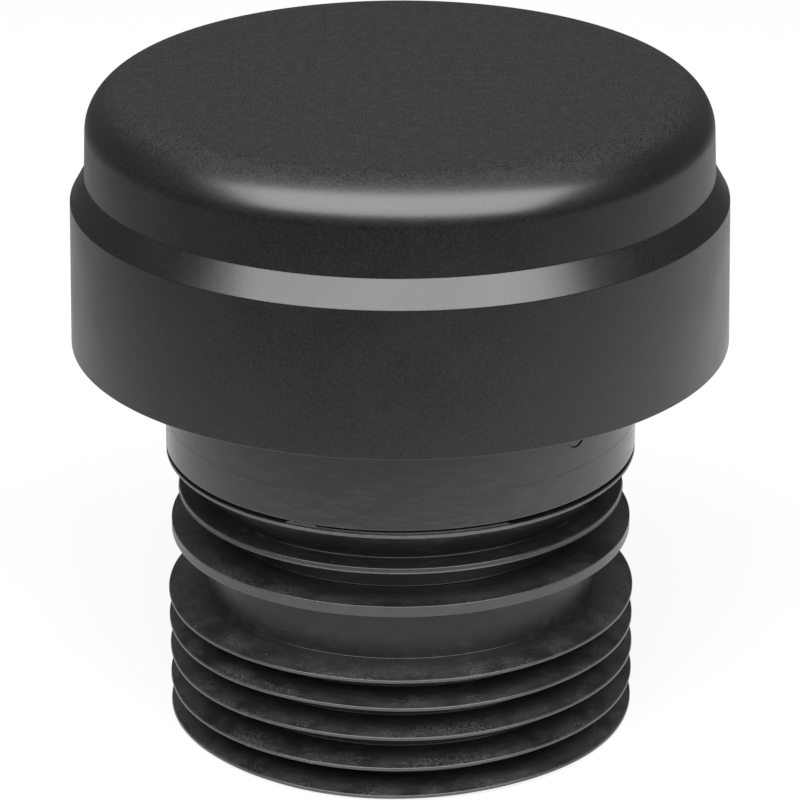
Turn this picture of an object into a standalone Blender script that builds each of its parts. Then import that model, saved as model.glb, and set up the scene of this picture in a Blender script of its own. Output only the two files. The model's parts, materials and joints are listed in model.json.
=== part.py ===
# Air admittance valve for a 110 mm soil pipe, closed by gravity.
#
# It stands upright on its pipe seal. +Z is up, the origin is the middle of the seal's foot,
# and every height is measured from that foot. Lengths are in metres.

import math

import bmesh
import bpy
from mathutils import Matrix, Vector

# Division of round shapes
STEPS = 48
ARC_STEPS = 4
SHARP_ANGLE = math.radians(28)

# Gap between pieces that touch
GAP = 0.0003

# Pipe seal: five thin fins, a neck, a stop flange, a short fin and a lip
FIN_RADIUS = 0.055
FIN_FEET = (0.0296, 0.0226, 0.0153, 0.00745, 0.0)
FIN_RIM = 0.00095
FIN_RISE = 0.0015
NECK_RADIUS = 0.0459
STOP_RADIUS = 0.054
STOP_FOOT = 0.0458
STOP_TOP = 0.0485
GROOVE_RADIUS = 0.043
SHORT_FIN_RADIUS = 0.0523
SHORT_FIN_FOOT = 0.0557
SHORT_FIN_TOP = 0.0571
LIP_ROOT_RADIUS = 0.0468
LIP_RADIUS = 0.0548
LIP_FOOT = 0.0655
LIP_TOP = 0.0668
SEAL_TOP = 0.0673
EDGE = 0.0003

# Connector: collar, floor and spigot in one moulding, with three latch tongues
COLLAR_RADIUS = 0.0549
COLLAR_DRAFT = 0.0004
COLLAR_FOOT = 0.0676
COLLAR_TOP = 0.104
COLLAR_WALL = 0.0028
FLOOR = 0.0028
SPIGOT_RADIUS = 0.0402
SPIGOT_WALL = 0.003
SPIGOT_FOOT = 0.006
LATCH_AZIMUTHS = (-45, 75, 195)
LATCH_FOOT = 0.0805
LATCH_TOP = 0.1
LATCH_HALF_WIDTH = 0.006
LATCH_SLOT = 0.0006
LATCH_BUMP = Vector((0.0022, 0.008, 0.0028))
LATCH_BUMP_HEIGHT = 0.0893

# Seat housing: inner tube, outer ring and six webs in one moulding
SEAT_TOP = 0.128
SEAT_CHAMFER = 0.0008
TUBE_RADIUS = 0.0517
TUBE_WALL = 0.0025
TUBE_FOOT = 0.0733
RING_RADIUS = 0.068
RING_WALL = 0.0025
RING_FOOT = 0.104
LEDGE = 0.0015
SCREEN_LEDGE_TOP = 0.1055
BORE_LEDGE_TOP = 0.1
FLANGE_RADIUS = 0.0724
FLANGE_FOOT = 0.12
FLANGE_TOP = 0.123
WEBS = 6
WEB_THICKNESS = 0.002
WEB_TOP = 0.124

# Cap: top, drum, chamfered shoulder and skirt in one moulding
CAP_TOP = 0.155
CAP_WALL = 0.0026
DRUM_RADIUS = 0.0719
DRUM_FOOT = 0.1342
DRUM_DRAFT = 0.0004
ROUND_ACROSS = 0.012
ROUND_DOWN = 0.0105
SHOULDER_RADIUS = 0.0754
SHOULDER_FOOT = 0.1282
SKIRT_RADIUS = 0.0761
SKIRT_FOOT = 0.094
SKIRT_WALL = 0.0021
PRESS_RIB_FOOT = 0.1245
PRESS_RIB_WIDTH = 0.002
SNAP_LUGS = 6
SNAP_LUG = Vector((0.0034, 0.01, 0.0032))

# Valve plate, which slides up from the seats
LIFT = 0.0085
DIAPHRAGM_THICKNESS = 0.0016
DIAPHRAGM_RADIUS = 0.0684
DIAPHRAGM_BORE = 0.0488
CARRIER_RADIUS = 0.0682
CARRIER_THICKNESS = 0.0022
CARRIER_SKIRT_RADIUS = 0.0485
CARRIER_SKIRT_WALL = 0.0022
CARRIER_SKIRT_FOOT = 0.1205
HUB_RADIUS = 0.008
HUB_FOOT = 0.1205
HUB_TOP = 0.124
SPOKES = 4
SPOKE_WIDTH = 0.005
STEM_RADIUS = 0.004
STEM_TOP = 0.1415
GUIDE_FOOT = 0.134
GUIDE_END = 0.151
GUIDE_CLEARANCE = 0.0004
GUIDE_WALL = 0.0026
RIBS = 6
RIB_THICKNESS = 0.0016

# Clamp ring under the diaphragm, with staked pegs through it
CLAMP_INNER = 0.0535
CLAMP_OUTER = 0.0635
CLAMP_THICKNESS = 0.0017
PEGS = 6
PEG_CIRCLE = 0.0585
PEG_RADIUS = 0.0016
PEG_HEAD_RADIUS = 0.0026
PEG_HEAD_HEIGHT = 0.001
PEG_SIDES = 12

# Screens
SCREEN_BAR = 0.0012
SCREEN_CLEARANCE = 0.0006
SCREEN_MARGIN = math.radians(1.9)
BORE_SCREEN_BAR = 0.0015
BORE_SCREEN_PITCH = 0.014

# Heights worked out from the ones above
DIAPHRAGM_FOOT = SEAT_TOP + GAP
DIAPHRAGM_TOP = DIAPHRAGM_FOOT + DIAPHRAGM_THICKNESS
CARRIER_FOOT = DIAPHRAGM_TOP + GAP
CARRIER_TOP = CARRIER_FOOT + CARRIER_THICKNESS
RIB_FOOT = CARRIER_TOP + LIFT + GAP
CAP_CEILING = CAP_TOP - CAP_WALL
DRUM_TOP = CAP_TOP - ROUND_DOWN
GUIDE_RADIUS = STEM_RADIUS + GUIDE_CLEARANCE


def clear_scene():
    for item in list(bpy.data.objects):
        bpy.data.objects.remove(item, do_unlink=True)


def new_collection(name):
    collection = bpy.data.collections.new(name)
    bpy.context.scene.collection.children.link(collection)
    return collection


def new_material(name, colour, roughness):
    material = bpy.data.materials.new(name)
    material.use_nodes = True
    shader = material.node_tree.nodes["Principled BSDF"]
    shader.inputs["Base Color"].default_value = (*colour, 1.0)
    shader.inputs["Roughness"].default_value = roughness
    shader.inputs["Metallic"].default_value = 0.0
    return material


def arc(centre, radii, start, end):
    """Points of an elliptical arc, angles in degrees counted from +X towards +Z."""
    points = []
    for step in range(ARC_STEPS + 1):
        angle = math.radians(start + (end - start) * step / ARC_STEPS)
        across = centre[0] + radii[0] * math.cos(angle)
        up = centre[1] + radii[1] * math.sin(angle)
        points.append((across, up))
    return points


def new_object(name, mesh, collection):
    item = bpy.data.objects.new(name, mesh)
    collection.objects.link(item)
    return item


def turned(name, outline, collection, closed=True):
    """A solid of revolution. The outline runs down its outer side and up its inner side."""
    model = bmesh.new()
    verts = [model.verts.new((across, 0, up)) for across, up in outline]
    for first, second in zip(verts, verts[1:]):
        model.edges.new((first, second))
    if closed:
        model.edges.new((verts[-1], verts[0]))
    mesh = bpy.data.meshes.new(name)
    model.to_mesh(mesh)
    model.free()
    item = new_object(name, mesh, collection)
    screw = item.modifiers.new("turn", "SCREW")
    screw.steps = STEPS
    screw.render_steps = STEPS
    screw.use_merge_vertices = True
    screw.merge_threshold = 0.00001
    return item


def from_bmesh(name, model, collection):
    bmesh.ops.recalc_face_normals(model, faces=model.faces)
    mesh = bpy.data.meshes.new(name)
    model.to_mesh(mesh)
    model.free()
    return new_object(name, mesh, collection)


def radial_place(radius, azimuth, height):
    """Turns a shape that faces +X to an azimuth and puts it at a radius and a height."""
    turn = Matrix.Rotation(azimuth, 4, "Z")
    return turn @ Matrix.Translation((radius, 0, height))


def ring_of_boxes(name, size, radius, height, azimuths, collection):
    """Boxes around the axis: size is radial, tangential and upright."""
    model = bmesh.new()
    for azimuth in azimuths:
        place = radial_place(radius, azimuth, height) @ Matrix.Diagonal((*size, 1))
        bmesh.ops.create_cube(model, size=1, matrix=place)
    return from_bmesh(name, model, collection)


def ring_of_pins(name, radius, foot, top, azimuths, collection):
    """Upright round pins on the circle that the pegs use."""
    model = bmesh.new()
    for azimuth in azimuths:
        place = radial_place(PEG_CIRCLE, azimuth, (foot + top) / 2)
        bmesh.ops.create_cone(
            model, cap_ends=True, segments=PEG_SIDES, radius1=radius, radius2=radius,
            depth=top - foot, matrix=place)
    return from_bmesh(name, model, collection)


def evenly(count, start=0.0):
    return [start + math.tau * step / count for step in range(count)]


def combine(item, tool, operation):
    """Adds a Boolean with a tool that the model itself doesn't show."""
    tool.hide_render = True
    tool.display_type = "WIRE"
    boolean = item.modifiers.new(tool.name, "BOOLEAN")
    boolean.operation = operation
    boolean.solver = "EXACT"
    boolean.object = tool


def finish(item, material):
    """Turns the modifiers' result into the object's own mesh, and shades it."""
    graph = bpy.context.evaluated_depsgraph_get()
    mesh = bpy.data.meshes.new_from_object(item.evaluated_get(graph))
    item.modifiers.clear()
    item.data = mesh
    mesh.name = item.name
    mesh.materials.clear()
    mesh.materials.append(material)
    mesh.shade_smooth()
    mesh.set_sharp_from_angle(angle=SHARP_ANGLE)


def fin_outline(rim_radius, rim_foot, rim_top, root_radius, root_foot, root_top):
    """A tapering fin, from its root's top out to its rim and back to its root's foot."""
    return [
        (root_radius, root_top),
        (rim_radius, rim_top),
        (rim_radius, rim_foot),
        (root_radius, root_foot),
    ]


def make_pipe_seal(parts, material):
    inner = SPIGOT_RADIUS + GAP
    turned_in = SPIGOT_RADIUS - SPIGOT_WALL + 0.0004
    lip = fin_outline(LIP_RADIUS, LIP_FOOT, LIP_TOP, LIP_ROOT_RADIUS, LIP_FOOT - 0.0009, SEAL_TOP)
    short_fin = fin_outline(
        SHORT_FIN_RADIUS, SHORT_FIN_FOOT, SHORT_FIN_TOP,
        LIP_ROOT_RADIUS, SHORT_FIN_FOOT - 0.0004, SHORT_FIN_TOP + 0.0007)
    stop = [
        (GROOVE_RADIUS, SHORT_FIN_FOOT - 0.0011),
        (GROOVE_RADIUS, STOP_TOP),
        (STOP_RADIUS, STOP_TOP),
        (STOP_RADIUS, STOP_FOOT),
        (NECK_RADIUS, STOP_FOOT),
    ]
    outline = lip + short_fin + stop
    for foot in FIN_FEET:
        rim_top = foot + FIN_RIM
        outline += fin_outline(FIN_RADIUS, foot, rim_top, NECK_RADIUS, foot, rim_top + FIN_RISE)
    outline.pop()
    outline += [
        (turned_in, 0.0),
        (turned_in, SPIGOT_FOOT - GAP),
        (inner, SPIGOT_FOOT - GAP),
        (inner, SEAL_TOP),
    ]
    finish(turned("pipe_seal", outline, parts), material)


def latch_slot_outline():
    """Outline of a U-shaped slot, standing in the plane of X and Y with its round end down."""
    outer = LATCH_HALF_WIDTH + LATCH_SLOT / 2
    inner = LATCH_HALF_WIDTH - LATCH_SLOT / 2
    middle = LATCH_FOOT + LATCH_HALF_WIDTH
    rising = LATCH_TOP - middle
    points = [(-outer, rising)]
    points += arc((0, 0), (outer, outer), 180, 360)
    points += [(outer, rising), (inner, rising)]
    points += arc((0, 0), (inner, inner), 360, 180)
    points.append((-inner, rising))
    return points, middle


def make_latch_cutter(cutters):
    """Three U-shaped plates that stand through the collar's wall."""
    points, middle = latch_slot_outline()
    reach = 2 * COLLAR_WALL
    model = bmesh.new()
    for azimuth in LATCH_AZIMUTHS:
        upright = Matrix.Rotation(math.radians(90), 4, "Z") @ Matrix.Rotation(math.radians(90), 4, "X")
        turn = radial_place(COLLAR_RADIUS - COLLAR_WALL / 2, math.radians(azimuth), middle)
        verts = []
        for across, up in points:
            place = turn @ upright @ Vector((across, up, -reach / 2))
            verts.append(model.verts.new(place))
        face = model.faces.new(verts)
        outward = Matrix.Rotation(math.radians(azimuth), 3, "Z") @ Vector((reach, 0, 0))
        pushed = bmesh.ops.extrude_face_region(model, geom=[face], use_keep_orig=True)
        moved = [part for part in pushed["geom"] if isinstance(part, bmesh.types.BMVert)]
        bmesh.ops.translate(model, verts=moved, vec=outward)
    return from_bmesh("latch_slots", model, cutters)


def make_connector(parts, cutters, material):
    spigot_bore = SPIGOT_RADIUS - SPIGOT_WALL
    top_radius = COLLAR_RADIUS - COLLAR_DRAFT
    inside = COLLAR_RADIUS - COLLAR_WALL
    floor_top = COLLAR_FOOT + FLOOR
    outline = [
        (top_radius, COLLAR_TOP),
        (COLLAR_RADIUS, COLLAR_FOOT + EDGE),
        (COLLAR_RADIUS - EDGE, COLLAR_FOOT),
        (SPIGOT_RADIUS, COLLAR_FOOT),
        (SPIGOT_RADIUS, SPIGOT_FOOT + 0.002),
        (SPIGOT_RADIUS - 0.001, SPIGOT_FOOT),
        (spigot_bore, SPIGOT_FOOT),
        (spigot_bore, floor_top - 0.001),
        (spigot_bore + 0.001, floor_top),
        (inside, floor_top),
        (inside, COLLAR_TOP),
    ]
    connector = turned("connector", outline, parts)
    azimuths = [math.radians(azimuth) for azimuth in LATCH_AZIMUTHS]
    bumps = ring_of_boxes(
        "latch_bumps", LATCH_BUMP, inside, LATCH_BUMP_HEIGHT, azimuths, cutters)
    combine(connector, bumps, "UNION")
    combine(connector, make_latch_cutter(cutters), "DIFFERENCE")
    finish(connector, material)


def seat_outline(bore, radius, outside, inside):
    """A ring with a chamfered seat on top: its outside and inside run down from the seat."""
    outer_rim = [(radius - SEAT_CHAMFER, SEAT_TOP), (radius, SEAT_TOP - SEAT_CHAMFER)]
    inner_rim = [(bore, SEAT_TOP - SEAT_CHAMFER), (bore + SEAT_CHAMFER, SEAT_TOP)]
    return outer_rim + outside + inside[::-1] + inner_rim


def make_seat_housing(parts, cutters, material):
    bore = TUBE_RADIUS - TUBE_WALL
    tube_outside = [
        (TUBE_RADIUS, SCREEN_LEDGE_TOP),
        (TUBE_RADIUS + LEDGE, SCREEN_LEDGE_TOP),
        (TUBE_RADIUS + LEDGE, RING_FOOT),
        (TUBE_RADIUS, RING_FOOT),
        (TUBE_RADIUS, TUBE_FOOT),
    ]
    tube_inside = [
        (bore, BORE_LEDGE_TOP),
        (bore - LEDGE, BORE_LEDGE_TOP),
        (bore - LEDGE, BORE_LEDGE_TOP - LEDGE),
        (bore, BORE_LEDGE_TOP - 2 * LEDGE),
        (bore, TUBE_FOOT),
    ]
    tube_outline = seat_outline(bore, TUBE_RADIUS, tube_outside, tube_inside)
    housing = turned("seat_housing", tube_outline, parts)

    ring_bore = RING_RADIUS - RING_WALL
    ring_outside = [
        (RING_RADIUS, FLANGE_TOP),
        (FLANGE_RADIUS, FLANGE_TOP),
        (FLANGE_RADIUS, FLANGE_FOOT),
        (RING_RADIUS, FLANGE_FOOT),
        (RING_RADIUS, RING_FOOT),
    ]
    ring_inside = [
        (ring_bore, SCREEN_LEDGE_TOP),
        (ring_bore - LEDGE, SCREEN_LEDGE_TOP),
        (ring_bore - LEDGE, RING_FOOT),
    ]
    ring_outline = seat_outline(ring_bore, RING_RADIUS, ring_outside, ring_inside)
    ring = turned("outer_seat_ring", ring_outline, cutters)

    overlap = 0.0008
    length = ring_bore - TUBE_RADIUS + 2 * overlap
    web_foot = RING_FOOT + 0.0007
    size = (length, WEB_THICKNESS, WEB_TOP - web_foot)
    middle = (TUBE_RADIUS + ring_bore) / 2
    height = (WEB_TOP + web_foot) / 2
    webs = ring_of_boxes("webs", size, middle, height, evenly(WEBS), cutters)

    pocket_size = LATCH_BUMP + Vector((0.0006, 0.0012, 0.0012))
    azimuths = [math.radians(azimuth) for azimuth in LATCH_AZIMUTHS]
    pockets = ring_of_boxes(
        "latch_pockets", pocket_size, COLLAR_RADIUS - COLLAR_WALL, LATCH_BUMP_HEIGHT,
        azimuths, cutters)
    combine(housing, webs, "UNION")
    combine(housing, ring, "UNION")
    combine(housing, pockets, "DIFFERENCE")
    finish(housing, material)


def cap_outline():
    """The cap's section: down its outside, up its inside and down and up the guide tube."""
    top_edge = DRUM_RADIUS - DRUM_DRAFT - ROUND_ACROSS
    drum_inside = DRUM_RADIUS - CAP_WALL
    drum_inside_top = drum_inside - DRUM_DRAFT
    skirt_inside_foot = SKIRT_RADIUS - SKIRT_WALL
    skirt_inside_top = SHOULDER_RADIUS - SKIRT_WALL
    press_outside = drum_inside + PRESS_RIB_WIDTH
    outline = [(0, CAP_TOP)]
    outline += arc((top_edge, DRUM_TOP), (ROUND_ACROSS, ROUND_DOWN), 90, 0)
    outline += [
        (DRUM_RADIUS, DRUM_FOOT),
        (SHOULDER_RADIUS, SHOULDER_FOOT),
        (SKIRT_RADIUS, SKIRT_FOOT + EDGE),
        (SKIRT_RADIUS - EDGE, SKIRT_FOOT),
        (skirt_inside_foot, SKIRT_FOOT),
        (skirt_inside_top, SHOULDER_FOOT - 0.0008),
        (press_outside, SHOULDER_FOOT + 0.0022),
        (press_outside, PRESS_RIB_FOOT),
        (drum_inside, PRESS_RIB_FOOT),
    ]
    inner_across = ROUND_ACROSS - CAP_WALL
    inner_down = ROUND_DOWN - CAP_WALL
    inner_centre = (drum_inside_top - inner_across, CAP_CEILING - inner_down)
    outline += arc(inner_centre, (inner_across, inner_down), 0, 90)
    guide_outside = GUIDE_RADIUS + GUIDE_WALL
    outline += [
        (guide_outside + 0.0006, CAP_CEILING),
        (guide_outside, GUIDE_FOOT),
        (GUIDE_RADIUS, GUIDE_FOOT),
        (GUIDE_RADIUS, GUIDE_END),
        (0, GUIDE_END),
    ]
    return outline


def make_stop_ribs(cutters):
    """Six upright ribs under the cap's top, from the guide tube to the drum's wall."""
    inner = GUIDE_RADIUS + 0.0008
    outer = DRUM_RADIUS - CAP_WALL + 0.0006
    top = CAP_CEILING + 0.0008
    corner = 0.009
    model = bmesh.new()
    for azimuth in evenly(RIBS):
        outline = [
            (inner, RIB_FOOT),
            (outer, RIB_FOOT),
            (outer, top - corner),
            (outer - corner, top),
            (inner, top),
        ]
        turn = Matrix.Rotation(azimuth, 4, "Z")
        side = Vector((0, -RIB_THICKNESS / 2, 0))
        verts = [model.verts.new(turn @ (Vector((across, 0, up)) + side)) for across, up in outline]
        face = model.faces.new(verts)
        pushed = bmesh.ops.extrude_face_region(model, geom=[face], use_keep_orig=True)
        moved = [part for part in pushed["geom"] if isinstance(part, bmesh.types.BMVert)]
        bmesh.ops.translate(model, verts=moved, vec=turn.to_3x3() @ Vector((0, RIB_THICKNESS, 0)))
    return from_bmesh("stop_ribs", model, cutters)


def make_snap_lugs(cutters):
    """Lugs inside the skirt that catch under the housing's flange, sloped on their lower side."""
    height = FLANGE_FOOT - GAP - SNAP_LUG.z / 2
    middle = SHOULDER_RADIUS - SKIRT_WALL - 0.0004
    lugs = ring_of_boxes(
        "snap_lugs", SNAP_LUG, middle, height, evenly(SNAP_LUGS, math.pi / SNAP_LUGS), cutters)
    for vert in lugs.data.vertices:
        radius = math.hypot(vert.co.x, vert.co.y)
        if vert.co.z < height and radius < middle:
            stretch = (radius + 0.0018) / radius
            vert.co.x *= stretch
            vert.co.y *= stretch
    return lugs


def make_cap(parts, cutters, material):
    cap = turned("cap", cap_outline(), parts, closed=False)
    combine(cap, make_stop_ribs(cutters), "UNION")
    combine(cap, make_snap_lugs(cutters), "UNION")
    finish(cap, material)


def flat_ring(name, inner, outer, foot, top, collection):
    outline = [(outer, top), (outer, foot), (inner, foot), (inner, top)]
    return turned(name, outline, collection)


def make_gaskets(parts, material):
    floor_top = COLLAR_FOOT + FLOOR
    bore = TUBE_RADIUS - TUBE_WALL
    joint = flat_ring(
        "joint_gasket", bore, TUBE_RADIUS, floor_top + GAP, TUBE_FOOT - GAP, parts)
    finish(joint, material)
    cap_gasket = flat_ring(
        "cap_gasket", RING_RADIUS + 2 * GAP, FLANGE_RADIUS - GAP,
        FLANGE_TOP + GAP, PRESS_RIB_FOOT - GAP, parts)
    finish(cap_gasket, material)


def make_valve_plate(parts, cutters, material):
    skirt_bore = CARRIER_SKIRT_RADIUS - CARRIER_SKIRT_WALL
    outline = [
        (CARRIER_RADIUS, CARRIER_TOP),
        (CARRIER_RADIUS, CARRIER_FOOT),
        (CARRIER_SKIRT_RADIUS, CARRIER_FOOT),
        (CARRIER_SKIRT_RADIUS, CARRIER_SKIRT_FOOT),
        (skirt_bore, CARRIER_SKIRT_FOOT),
        (skirt_bore, CARRIER_TOP),
    ]
    plate = turned("valve_plate", outline, parts)
    hub_outline = [
        (0, STEM_TOP),
        (STEM_RADIUS - 0.001, STEM_TOP),
        (STEM_RADIUS, STEM_TOP - 0.001),
        (STEM_RADIUS, HUB_TOP),
        (HUB_RADIUS, HUB_TOP),
        (HUB_RADIUS, HUB_FOOT),
        (0, HUB_FOOT),
    ]
    hub = turned("hub_and_stem", hub_outline, cutters, closed=False)
    inner = HUB_RADIUS - 0.002
    outer = skirt_bore + 0.001
    inset = 0.0004
    size = (outer - inner, SPOKE_WIDTH, HUB_TOP - HUB_FOOT - 2 * inset)
    height = (HUB_TOP + HUB_FOOT) / 2
    spokes = ring_of_boxes(
        "spokes", size, (inner + outer) / 2, height, evenly(SPOKES), cutters)
    holes = ring_of_pins(
        "peg_holes", PEG_RADIUS + GAP, CARRIER_FOOT - 0.001, CARRIER_TOP + 0.001,
        evenly(PEGS, math.pi / PEGS), cutters)
    combine(plate, spokes, "UNION")
    combine(plate, hub, "UNION")
    combine(plate, holes, "DIFFERENCE")
    finish(plate, material)


def make_diaphragm(parts, cutters, material):
    diaphragm = flat_ring(
        "diaphragm", DIAPHRAGM_BORE, DIAPHRAGM_RADIUS, DIAPHRAGM_FOOT, DIAPHRAGM_TOP, parts)
    holes = ring_of_pins(
        "diaphragm_holes", PEG_RADIUS + GAP, DIAPHRAGM_FOOT - 0.001, DIAPHRAGM_TOP + 0.001,
        evenly(PEGS, math.pi / PEGS), cutters)
    combine(diaphragm, holes, "DIFFERENCE")
    finish(diaphragm, material)


def make_clamp_ring(parts, cutters, material):
    top = DIAPHRAGM_FOOT - GAP
    clamp = flat_ring("clamp_ring", CLAMP_INNER, CLAMP_OUTER, top - CLAMP_THICKNESS, top, parts)
    azimuths = evenly(PEGS, math.pi / PEGS)
    head_foot = CARRIER_TOP + GAP
    head_top = head_foot + PEG_HEAD_HEIGHT
    pegs = ring_of_pins(
        "pegs", PEG_RADIUS, top - CLAMP_THICKNESS / 2, head_foot + PEG_HEAD_HEIGHT / 2,
        azimuths, cutters)
    heads = ring_of_pins("peg_heads", PEG_HEAD_RADIUS, head_foot, head_top, azimuths, cutters)
    combine(clamp, pegs, "UNION")
    combine(clamp, heads, "UNION")
    finish(clamp, material)


def polar_grid(name, radii, first, last, columns, height, bar, collection):
    """A screen of bars along circles and radii, between two azimuths."""
    model = bmesh.new()
    row = [model.verts.new((radius, 0, height)) for radius in radii]
    edges = [model.edges.new(pair) for pair in zip(row, row[1:])]
    bmesh.ops.spin(
        model, geom=row + edges, cent=(0, 0, 0), axis=(0, 0, 1),
        angle=last - first, steps=columns, use_merge=False)
    bmesh.ops.remove_doubles(model, verts=model.verts, dist=0.00001)
    bmesh.ops.rotate(
        model, verts=model.verts, cent=(0, 0, 0), matrix=Matrix.Rotation(first, 3, "Z"))
    screen = from_bmesh(name, model, collection)
    wires = screen.modifiers.new("bars", "WIREFRAME")
    wires.thickness = bar
    wires.use_even_offset = True
    wires.use_boundary = True
    return screen


def make_inlet_screens(parts, material):
    """One screen in each window between two webs, on the housing's ledges."""
    inner = TUBE_RADIUS + SCREEN_CLEARANCE + SCREEN_BAR / 2
    outer = RING_RADIUS - RING_WALL - SCREEN_CLEARANCE - SCREEN_BAR / 2
    rings = 2
    columns = 6
    radii = [inner + (outer - inner) * step / rings for step in range(rings + 1)]
    window = math.tau / WEBS
    height = SCREEN_LEDGE_TOP + GAP + SCREEN_BAR / 2
    for number in range(WEBS):
        start = number * window + SCREEN_MARGIN
        end = (number + 1) * window - SCREEN_MARGIN
        screen = polar_grid(
            f"inlet_screen_{number + 1}", radii, start, end, columns, height, SCREEN_BAR, parts)
        finish(screen, material)


def grille_bars(name, reach, foot, top, across, collection):
    """Parallel bars inside a circle, along X, or along Y if they run across."""
    model = bmesh.new()
    turn = Matrix.Rotation(math.radians(90) if across else 0, 4, "Z")
    last = int(reach / BORE_SCREEN_PITCH)
    for step in range(-last, last + 1):
        offset = step * BORE_SCREEN_PITCH
        length = 2 * math.sqrt(reach ** 2 - offset ** 2)
        place = turn @ Matrix.Translation((0, offset, (foot + top) / 2))
        size = Matrix.Diagonal((length, BORE_SCREEN_BAR, top - foot, 1))
        bmesh.ops.create_cube(model, size=1, matrix=place @ size)
    return from_bmesh(name, model, collection)


def make_bore_screen(parts, cutters, material):
    """A round grille of square cells on the ledge inside the housing's tube."""
    rim = TUBE_RADIUS - TUBE_WALL - GAP
    reach = rim - 0.6 * BORE_SCREEN_BAR
    foot = BORE_LEDGE_TOP + GAP
    top = foot + BORE_SCREEN_BAR
    screen = flat_ring("bore_screen", rim - BORE_SCREEN_BAR, rim, foot, top, parts)
    for name, inset, across in (("long_bars", 0.0001, False), ("cross_bars", 0.0002, True)):
        bars = grille_bars(name, reach, foot + inset, top - inset, across, cutters)
        combine(screen, bars, "UNION")
    finish(screen, material)


def main():
    clear_scene()
    parts = new_collection("air_admittance_valve")
    cutters = new_collection("cutters")

    black_plastic = new_material("black_plastic", (0.016, 0.016, 0.017), 0.42)
    black_body = new_material("black_body_plastic", (0.018, 0.018, 0.019), 0.38)
    inner_plastic = new_material("inner_plastic", (0.03, 0.03, 0.032), 0.5)
    plate_plastic = new_material("plate_plastic", (0.55, 0.56, 0.55), 0.45)
    screen_plastic = new_material("screen_plastic", (0.04, 0.04, 0.042), 0.55)
    seal_rubber = new_material("seal_rubber", (0.012, 0.012, 0.013), 0.5)
    soft_rubber = new_material("soft_rubber", (0.03, 0.028, 0.027), 0.7)

    make_pipe_seal(parts, seal_rubber)
    make_connector(parts, cutters, black_body)
    make_seat_housing(parts, cutters, inner_plastic)
    make_cap(parts, cutters, black_plastic)
    make_gaskets(parts, soft_rubber)
    make_inlet_screens(parts, screen_plastic)
    make_bore_screen(parts, cutters, screen_plastic)
    make_valve_plate(parts, cutters, plate_plastic)
    make_diaphragm(parts, cutters, soft_rubber)
    make_clamp_ring(parts, cutters, plate_plastic)


main()
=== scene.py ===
import json
import math
import random

import bmesh
import bpy
from mathutils import Matrix, Vector, noise


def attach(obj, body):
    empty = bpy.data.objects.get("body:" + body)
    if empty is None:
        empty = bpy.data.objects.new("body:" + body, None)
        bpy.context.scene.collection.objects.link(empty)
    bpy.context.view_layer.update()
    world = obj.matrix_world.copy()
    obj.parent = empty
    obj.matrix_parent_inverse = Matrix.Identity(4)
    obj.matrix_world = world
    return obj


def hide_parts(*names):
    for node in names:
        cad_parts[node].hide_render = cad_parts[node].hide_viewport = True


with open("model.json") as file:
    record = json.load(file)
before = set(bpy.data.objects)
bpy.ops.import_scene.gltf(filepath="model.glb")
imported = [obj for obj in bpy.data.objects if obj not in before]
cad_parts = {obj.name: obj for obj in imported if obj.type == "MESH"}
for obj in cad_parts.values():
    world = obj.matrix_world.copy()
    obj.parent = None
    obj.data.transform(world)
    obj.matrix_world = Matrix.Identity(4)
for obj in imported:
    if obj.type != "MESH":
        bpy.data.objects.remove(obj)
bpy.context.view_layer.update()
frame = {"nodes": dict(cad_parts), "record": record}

# Air admittance valve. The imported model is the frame, and the pieces that show from outside are
# built again here with rounded edges. Lengths are in metres, and +Z is up from the seal's foot.

# Division of round shapes: steps in a full turn, and extra ones on each side of a mark
STEPS = 256
STAGE_STEPS = 96
MARK_STEPS = 5
MARK_SPACING = 0.00018
ON_AXIS = 1e-7
SHARP_ANGLE = math.radians(50)

# Rounding of an outline's corners: the widest turn between two points, the least turn that is
# rounded, the distance of the support points, the share of a side that a corner may take, and
# how much more of it the corner's support points may take
ARC_STEP = math.radians(30)
FLAT_TURN = 0.02
SUPPORT = 0.00018
CORNER_SHARE = 0.4
SUPPORT_SHARE = 1.2

# Radii of moulded edges, from the sharpest to the softest
FINE_EDGE = 0.0001
CRISP_EDGE = 0.0002
EDGE = 0.0003
SOFT_EDGE = 0.0004
WIDE_EDGE = 0.0005

# Pipe seal
FIN_RADIUS = 0.055
FIN_FEET = (0.0296, 0.0226, 0.0153, 0.00745, 0.0006)
FIN_RIM = 0.0008
FIN_RISE = 0.0015
NECK_RADIUS = 0.0459
NECK_ROUND = 0.0008
STOP_RADIUS = 0.054
STOP_FOOT = 0.046
STOP_TOP = 0.0487
GROOVE_RADIUS = 0.043
GROOVE_DROP = 0.0011
SHORT_FIN_RADIUS = 0.0523
SHORT_FIN_FOOT = 0.0559
SHORT_FIN_TOP = 0.0573
SHORT_FIN_RISE = 0.0003
SHORT_FIN_FALL = 0.0004
SHORT_FIN_STEP = 0.0002
SHORT_FIN_STEP_SHARE = 0.3
SHORT_FIN_ROUND = 0.00038
LIP_ROOT_RADIUS = 0.0468
LIP_RADIUS = 0.0548
LIP_FOOT = 0.0657
LIP_TOP = 0.0665
LIP_RISE = 0.0002
LIP_ROUND = 0.00025
LIP_STEP_RADIUS = 0.0505
LIP_UNDER = (0.0515, 0.0646)
LIP_UNDER_ROUND = 0.001
SEAL_TOP = 0.0673
SEAL_BORE = 0.0405
SEAL_FOOT_BORE = 0.0376
SEAL_FOOT_TOP = 0.0057
ROOT_FILLET = 0.00022
RIM_ROUND = 0.00045
RIM_EDGE = 0.00012

# How pale the cut rims are, from 0 to 1
LIP_PALE = 1
SHORT_FIN_STEP_PALE = 0.18
SHORT_FIN_PALE = 0.48
STOP_PALE = 0.42
FIN_PALE = 0.5

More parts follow.
